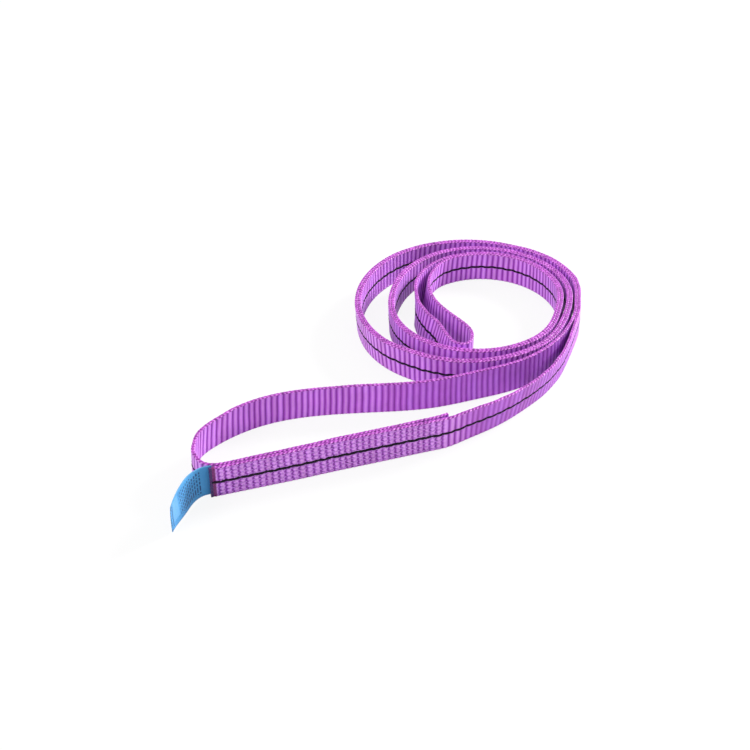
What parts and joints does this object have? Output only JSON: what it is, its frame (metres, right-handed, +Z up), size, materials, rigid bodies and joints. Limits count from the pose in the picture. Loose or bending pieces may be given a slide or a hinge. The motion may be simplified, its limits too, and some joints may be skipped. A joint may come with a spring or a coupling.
{
  "type": "flat web sling",
  "caption": "Endless flat web lifting sling on its edge, wound into a loose coil, with a sewn lap and a label in the eye of its free tail.",
  "frame": {"origin": "on the floor, under the middle of the sling's bounding box", "axes": "+Z up, along the width of the web; +Y from the label's end towards the far side of the coil, the sling's longest direction; +X to the right as seen from the label's side"},
  "size_m": [0.3494, 0.4134, 0.03],
  "materials": {
    "web": "ribbed violet polyester webbing",
    "tracer": "black tracer yarn",
    "thread": "violet sewing thread",
    "label": "woven polyester tape, blue"
  },
  "bodies": {
    "coil": {"turn_1_outer_ply": "web", "turn_1_inner_ply": "web", "turn_2_outer_ply": "web", "turn_2_inner_ply": "web", "turn_3_outer_ply": "web", "turn_3_inner_ply": "web", "coil_outer_tracer": "tracer", "coil_inner_tracer": "tracer"},
    "tail": {"front_run": "web", "front_run_tracer": "tracer", "lap_tracer": "tracer", "lap_front_ply": "web", "lap_rear_ply": "web", "lap_front_stitching": "thread", "lap_rear_stitching": "thread", "label_tab": "label", "eye_bight": "web", "back_run": "web", "back_run_tracer": "tracer"},
    "inner_bight": {"bight_outer_leg": "web", "bight_turn": "web", "bight_inner_leg": "web", "bight_tracer": "tracer"},
    "label": {"label_flap": "label"}
  },
  "joints": [
    {"name": "tail_swing", "type": "hinge", "parent": "coil", "child": "tail", "pos_m": [0.16884, 0.12848, 0], "axis": [0, 0, 1], "range_deg": [0, 45]},
    {"name": "inner_bight_swing", "type": "hinge", "parent": "coil", "child": "inner_bight", "pos_m": [0.0575, 0.1705, 0], "axis": [0, 0, 1], "range_deg": [-2, 17]},
    {"name": "label_flap", "type": "hinge", "parent": "tail", "child": "label", "pos_m": [-0.15228, -0.16265, 0], "axis": [0, 0, 1], "range_deg": [-20, 80]}
  ]
}
